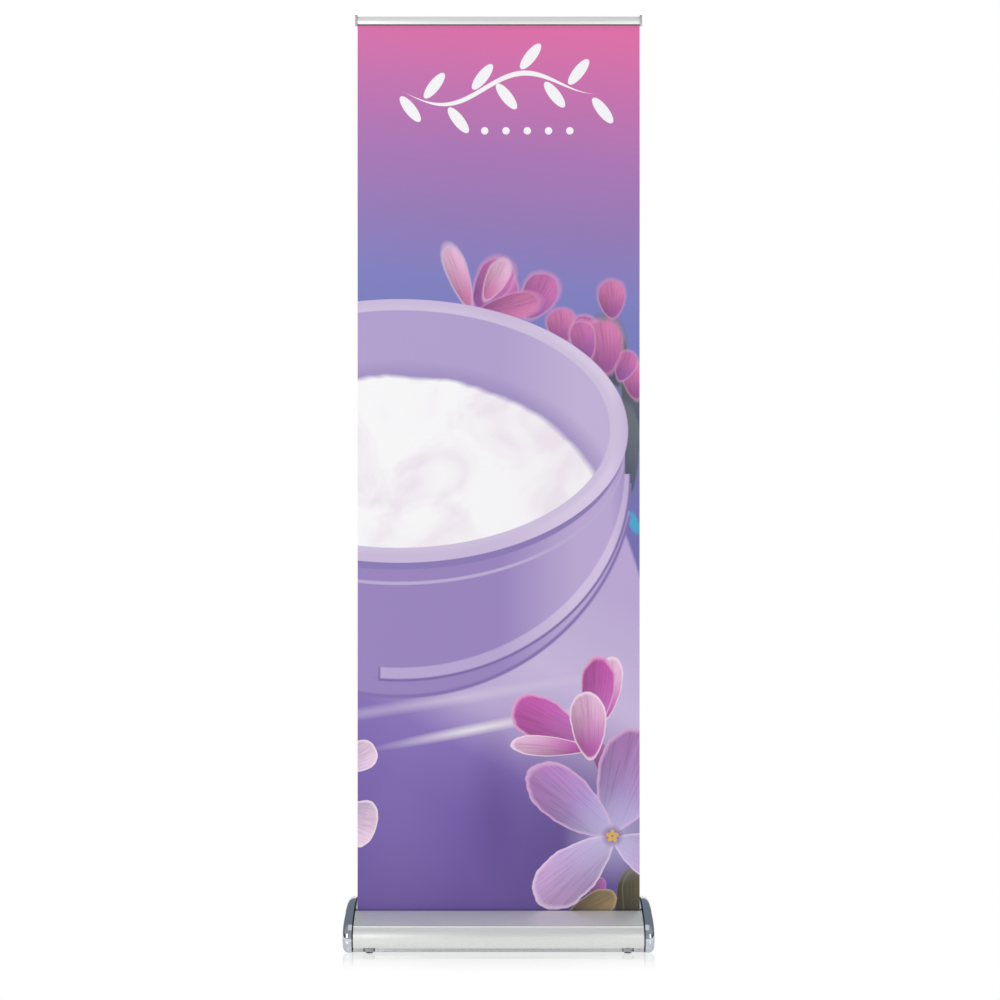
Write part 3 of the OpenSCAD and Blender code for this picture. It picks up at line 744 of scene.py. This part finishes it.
# %% [markdown]
# ## Finishing the engineering pieces
# A carried-over solid has razor-sharp edges, which no extruded or moulded part has. For each piece
# that is seen, a copy of its mesh is welded, its flat triangles are joined, and its edges get a
# small round. The curved walls are shaded smooth, and only true corners stay sharp.

# %% Add a piece in a node's place
FINISH_OF = {
    "anodised_aluminium": anodised, "mill_aluminium": mill, "chromed_plastic": chrome,
    "zinc_steel": zinc, "black_plastic": black_plastic, "grey_plastic": grey_plastic,
    "rail_cap_plastic": cap_plastic, "dark_plastic": dark_plastic, "acetal": acetal,
    "black_rubber": rubber, "shock_cord": cord_finish, "pole_aluminium": pole_metal,
    "printed_film": back_finish}


def add_piece(name, bm, node, materials, rides=True):
    """Makes a piece from a bmesh, which stands for a node and moves with that node's body."""
    mesh = bpy.data.meshes.new(name)
    bm.to_mesh(mesh)
    bm.free()
    for material in materials:
        mesh.materials.append(material)
    mesh.set_sharp_from_angle(angle=math.radians(32))
    piece = bpy.data.objects.new(name, mesh)
    bpy.context.collection.objects.link(piece)
    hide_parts(node)
    if rides:
        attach(piece, BODY_OF[node])
    return piece


print("finishes by slot:", len(FINISH_OF))

# %% Finish a copy of a solid
TRUE_CORNER = math.radians(38)


def finished_copy(node, round_edge=0.0004, segments=2, rides=True):
    bm = bmesh.new()
    bm.from_mesh(frame["nodes"][node].data)
    bmesh.ops.remove_doubles(bm, verts=bm.verts, dist=1e-6)
    bmesh.ops.dissolve_limit(bm, angle_limit=math.radians(0.4), verts=bm.verts, edges=bm.edges)
    if round_edge:
        corners = [edge for edge in bm.edges
                   if edge.is_manifold and edge.calc_face_angle() > TRUE_CORNER]
        bmesh.ops.bevel(bm, geom=corners, offset=round_edge, segments=segments, profile=0.5,
                        affect="EDGES", clamp_overlap=True, material=-1)
    for face in bm.faces:
        face.smooth = True
    return add_piece(node + "_finished", bm, node, [FINISH_OF[SLOT_OF[node]]], rides)


print("a corner of over", round(math.degrees(TRUE_CORNER)), "degrees gets a round")

# %% [markdown]
# Each piece gets a round of its own size: sharp sections have small ones, moulded parts larger.
# Along the lower edge of the front jaw, a thin band of the jaw takes the dark rubber finish: this is
# painted shade, the shadow line under the jaw.

# %% The pieces that are seen
SEEN = {"front_cover": 0.0004, "rear_cover": 0.0004, "base_tray": 0.0003, "pole_socket": 0.0006,
        "pole_hook": 0.0008, "rail_front_jaw": 0.0003, "rail_back_jaw": 0.0003,
        "rail_end_cap_left": 0.0006, "rail_end_cap_right": 0.0006, "rail_bead_plugs": 0.0008}
SEEN.update({f"thumbwheel_{corner}": 0.0004 for corner in ("fl", "fr", "rl", "rr")})
SEEN.update({f"foot_pad_{corner}": 0.0005 for corner in ("fl", "fr", "rl", "rr")})
for node, edge in SEEN.items():
    finished_copy(node, edge)
front_jaw = bpy.data.objects["rail_front_jaw_finished"]
# The lowest band of the front jaw gets the dark rubber finish as a painted shadow line along the jaw's
# lower edge.
front_jaw.data.materials.append(rubber)
SHADOW_LINE_HEIGHT = 0.0018
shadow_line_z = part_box("rail_front_jaw")[0].z + SHADOW_LINE_HEIGHT
for face in front_jaw.data.polygons:
    if face.center.z < shadow_line_z:
        face.material_index = 1

print("finished", len(SEEN), "solids")

# %% [markdown]
# One end of the motor spring is held by the fixed shaft and the other turns with the roller. Here the
# spring is a finished copy in spring steel that rides with no body, its place baked into its mesh.

# %% The motor spring
spring = finished_copy("motor_spring", 0, rides=False)
spring.data.materials[0] = spring_steel
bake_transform(spring)

# %% [markdown]
# The pieces inside keep their solids. Each gets the finish of its material slot, except the end plates:
# they get near-black steel as painted shade, standing for the shadow in the gap between each chromed
# cap and the casing.

# %% Finishes for the inner pieces
OWN_FINISH = {"end_plate_left": gap_shade_metal, "end_plate_right": gap_shade_metal}
for node, solid in frame["nodes"].items():
    if not solid.hide_render:
        finish = OWN_FINISH.get(node, FINISH_OF[SLOT_OF[node]])
        solid.data.materials.clear()
        solid.data.materials.append(finish)
print("pieces with a finish of their own:", sorted(OWN_FINISH))

# %% [markdown]
# ## Chromed end caps
# A chromed shape shows every flat, so the caps are made finely. The cap's outline is the
# cassette's own outline, a little larger. It is drawn once, filled, and drawn out along the
# stand in rings that shrink along a quarter circle, which gives the soft domed edge.

# %% Cap outline
def curve(a, b, c, d, count):
    """Points on a cubic curve from a to d, pulled towards b and c."""
    points = []
    for step in range(count + 1):
        t = step / count
        s = 1 - t
        points.append(Vector(a) * s ** 3 + 3 * Vector(b) * s * s * t
                      + 3 * Vector(c) * s * t * t + Vector(d) * t ** 3)
    return points


PROUD = 0.0025
OUTLINE = (curve((-92.5, 10.5), (-101, 20), (-106.2, 38), (-86.5, 54), 40)
           + curve((-84, 57.2), (-68, 65.5), (-48, 72.5), (-28, 77), 24)
           + curve((-16, 82), (6, 87), (32, 89.6), (54, 88.4), 28)
           + curve((54, 88.4), (86, 86.5), (100.08, 62), (100.08, 30), 40)[1:]
           + curve((100.08, 30), (100.08, 22), (98.5, 15), (95.5, 10.5), 8)[1:]
           + curve((93.5, 6), (93, 3.2), (92, 3.1), (88, 3.1), 8)
           + curve((-84, 3.1), (-88, 3.1), (-90, 3.2), (-91.5, 6), 8))
OUTLINE = [point / 1000 for point in OUTLINE]
CAP_MIDDLE = Vector((0, 0.040))
CAP_SIZE = Vector((0.1025, 0.046))
ROUND = 0.014
WALL = 0.0022
PEG_REACH = 0.0026          # the pegs reach this much further in than the shell
FACE_INSET = 0.024


def offset_outline(points, distance):
    """The closed outline moved outwards by a distance."""
    moved = []
    for index, point in enumerate(points):
        run = (points[(index + 1) % len(points)] - points[index - 1]).normalized()
        moved.append(point + distance * Vector((-run.y, run.x)))
    return moved


print("the cap's outline has", len(OUTLINE), "points")


# %% Make the caps
def end_cap(node, side):
    """side is -1 for the left cap and 1 for the right."""
    low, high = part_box(node)
    inner_x, outer_x = (high.x, low.x) if side < 0 else (low.x, high.x)
    inner_x += side * PEG_REACH
    reach = abs(outer_x - inner_x)
    dome = [math.radians(angle) for angle in range(0, 91, 6)]
    outer = [(0.0, 0.0)] + [(ROUND * (1 - math.cos(t)), reach - ROUND * (1 - math.sin(t)))
                            for t in dome] + [(FACE_INSET, reach)]
    wall = [(inset + WALL, max(along - WALL, 0)) for inset, along in outer]
    bm = bmesh.new()
    mouth = offset_outline(OUTLINE, PROUD)
    here = wall[-1]
    ring = [bm.verts.new((inner_x + side * here[1], *(CAP_MIDDLE + Vector(
        (p - here[0] / s * p for p, s in zip(point - CAP_MIDDLE, CAP_SIZE)))))) for point in mouth]
    face = bm.faces.new(ring)
    bmesh.ops.duplicate(bm, geom=[face])
    for there in wall[-2::-1] + outer:
        made = bmesh.ops.extrude_face_region(bm, geom=[face])
        bmesh.ops.delete(bm, geom=[face], context="FACES_ONLY")
        face = next(item for item in made["geom"] if isinstance(item, bmesh.types.BMFace))
        share = [(size - there[0]) / (size - here[0]) for size in CAP_SIZE]
        bmesh.ops.scale(bm, vec=(1, *share), verts=face.verts, space=Matrix.Translation(
            (0, -CAP_MIDDLE.x, -CAP_MIDDLE.y)))
        bmesh.ops.translate(bm, vec=(side * (there[1] - here[1]), 0, 0), verts=face.verts)
        here = there
    bmesh.ops.remove_doubles(bm, verts=bm.verts, dist=1e-7)
    bmesh.ops.recalc_face_normals(bm, faces=bm.faces)
    for made_face in bm.faces:
        made_face.smooth = True
    piece = add_piece(node + "_shell", bm, node, [chrome])
    print(piece.name, "has", len(piece.data.polygons), "faces, reach", round(reach, 4))
    return piece


end_cap("end_cap_left", -1)
end_cap("end_cap_right", 1)

# %% [markdown]
# ## The printed film
# The film is one thin sheet, cut 610 mm wide, that goes from the roller through the slot up to
# the clamp. It is held tight, yet film keeps a memory of the roll: its edges curl back by a
# millimetre or two, and very shallow waves cross it. Both fade out at the clamp and at the slot.

# %% Make the film
EDGE_CURL = 0.0022
WAVE = 0.0007
FADE = 0.3
FREE_FROM = 0.12
FREE_TO = 1.60

bm = bmesh.new()
bm.loops.layers.uv.new("film_map")
bmesh.ops.create_grid(bm, x_segments=32, y_segments=FILM_ROWS, size=0.5, calc_uvs=True)
bmesh.ops.scale(bm, vec=(FILM_W, FILM_LENGTH, 1), verts=bm.verts)
bmesh.ops.rotate(bm, matrix=Matrix.Rotation(math.radians(90), 3, "X"), verts=bm.verts)
bmesh.ops.translate(bm, vec=(0, FILM_Y, (film_low.z + film_high.z) / 2), verts=bm.verts)
for vert in bm.verts:
    above_slot = min(max((vert.co.z - FREE_FROM) / FADE, 0), 1)
    free = above_slot * min(max((FREE_TO - vert.co.z) / FADE, 0), 1)
    edge = abs(2 * vert.co.x / FILM_W) ** 5
    wave = math.sin(vert.co.z * 5.2 + vert.co.x * 3) * math.cos(vert.co.x * 9 - vert.co.z * 2)
    vert.co.y += free * (EDGE_CURL * edge + WAVE * wave)
bmesh.ops.solidify(bm, geom=bm.faces, thickness=0.00025)
bm.normal_update()
for face in bm.faces:
    face.smooth = True
    row = (face.calc_center_median().z - film_low.z) / FILM_LENGTH * FILM_ROWS
    face.material_index = len(strips) if face.normal.y > -0.5 else sum(
        row > first for first in STRIP_ROWS[1:])
film = add_piece("printed_film_sheet", bm, "graphic", strips + [back_finish])
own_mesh(film)

# %% [markdown]
# ## Floor and light
# The stand is shown in a white studio, on a white floor that is a little glossy near it. Two large
# soft lamps light the film from the front, and the left one is the stronger. Metal needs something
# to mirror, so the surroundings that only reflections see are grey above and darker at the sides,
# while the plain background stays white. The rear lamp is left out of reflections, or it would
# show as a white patch on the right cap.

# %% Floor
bm = bmesh.new()
bmesh.ops.create_grid(bm, x_segments=1, y_segments=1, size=9)
floor_mesh = bpy.data.meshes.new("studio_floor")
bm.to_mesh(floor_mesh)
bm.free()
floor = bpy.data.objects.new("studio_floor", floor_mesh)
bpy.context.collection.objects.link(floor)
floor_finish, tree, shader = new_material("white_floor")
camera_ray = put(tree, "ShaderNodeLightPath", out=0)
glow = put(tree, "ShaderNodeEmission", {0: (1, 1, 1, 1), 1: spread(
    tree, camera_ray, 0, 1, 0.95, 1.0)})
mirror = put(tree, "ShaderNodeBsdfGlossy", {"Color": (1, 1, 1, 1), "Roughness": 0.06})
nearness = vector(tree, "LENGTH", vector(tree, "MULTIPLY", own_place(tree), (0.35, 1, 0)), out=1)
share = spread(tree, nearness, 0.27, 0.12, 0.0, 0.36)
tree.links.new(put(tree, "ShaderNodeMixShader", {0: share, 1: glow, 2: mirror}),
               tree.nodes["Material Output"].inputs[0])
floor_mesh.materials.append(floor_finish)
print("floor is", floor.dimensions.x, "m wide")

# %% Surroundings
world = bpy.data.worlds.new("studio")
bpy.context.scene.world = world
world.use_nodes = True
tree = world.node_tree
tree.nodes.clear()
direction = put(tree, "ShaderNodeTexCoord", out=0)
sideways = put(tree, "ShaderNodeSeparateXYZ", {0: direction}, 0)
upwards = put(tree, "ShaderNodeSeparateXYZ", {0: direction}, 2)
forwards = put(tree, "ShaderNodeSeparateXYZ", {0: direction}, 1)
height_tone = ramp(tree, calc(tree, "MULTIPLY_ADD", upwards, 0.5, 0.5), [
    (0.0, (0.8, 0.8, 0.8, 1)), (0.49, (0.8, 0.8, 0.8, 1)), (0.53, (0.5, 0.5, 0.5, 1)),
    (0.75, (0.36, 0.37, 0.38, 1)), (1.0, (0.34, 0.35, 0.36, 1))])
rear_tone = blend(tree, height_tone, (0.20, 0.23, 0.27, 1), spread(tree, forwards, -0.1, 0.35))
side_dark = calc(tree, "MULTIPLY", spread(tree, calc(tree, "ABSOLUTE", sideways), 0.86, 0.93),
                 calc(tree, "SUBTRACT", 1.0, spread(tree, upwards, 0.30, 0.38)))
room_tone = blend(tree, rear_tone, (0.02, 0.02, 0.025, 1), side_dark)
behind = calc(tree, "MULTIPLY", spread(tree, forwards, 0.945, 0.955),
              calc(tree, "SUBTRACT", 1.0, spread(tree, upwards, 0.28, 0.30)))
seen_in_metal = blend(tree, room_tone, (1, 1, 1, 1), behind)
mirrored = put(tree, "ShaderNodeBackground", {0: seen_in_metal, 1: 1.0})
plain = put(tree, "ShaderNodeBackground", {0: (1, 1, 1, 1), 1: 1.0})
shown = put(tree, "ShaderNodeMixShader", {
    0: put(tree, "ShaderNodeLightPath", out=0), 1: mirrored, 2: plain})
tree.links.new(shown, tree.nodes.new("ShaderNodeOutputWorld").inputs[0])
print("surroundings take", len(tree.nodes), "nodes")


# %% Lamps
def lamp(name, place, target, size, power):
    data = bpy.data.lights.new(name, "AREA")
    data.shape = "RECTANGLE"
    data.size, data.size_y = size
    data.energy = power
    made = bpy.data.objects.new(name, data)
    bpy.context.collection.objects.link(made)
    made.location = place
    made.rotation_euler = (Vector(target) - Vector(place)).to_track_quat("-Z", "Y").to_euler()
    return made


lamp("front_left_lamp", (-3.2, -4.2, 2.4), (0, 0, 1.0), (1.2, 2.6), 66)
lamp("front_right_lamp", (3.2, -4.2, 2.2), (0, 0, 0.9), (1.2, 2.6), 34)
lamp("overhead_lamp", (0, -0.6, 4.2), (0, 0, 0), (3.0, 2.0), 8)
rear = lamp("rear_lamp", (1.6, 3.4, 2.6), (0, 0, 1.0), (2.0, 2.0), 50)
rear.visible_glossy = False

bpy.context.scene.view_settings.view_transform = "Standard"

# %% [markdown]
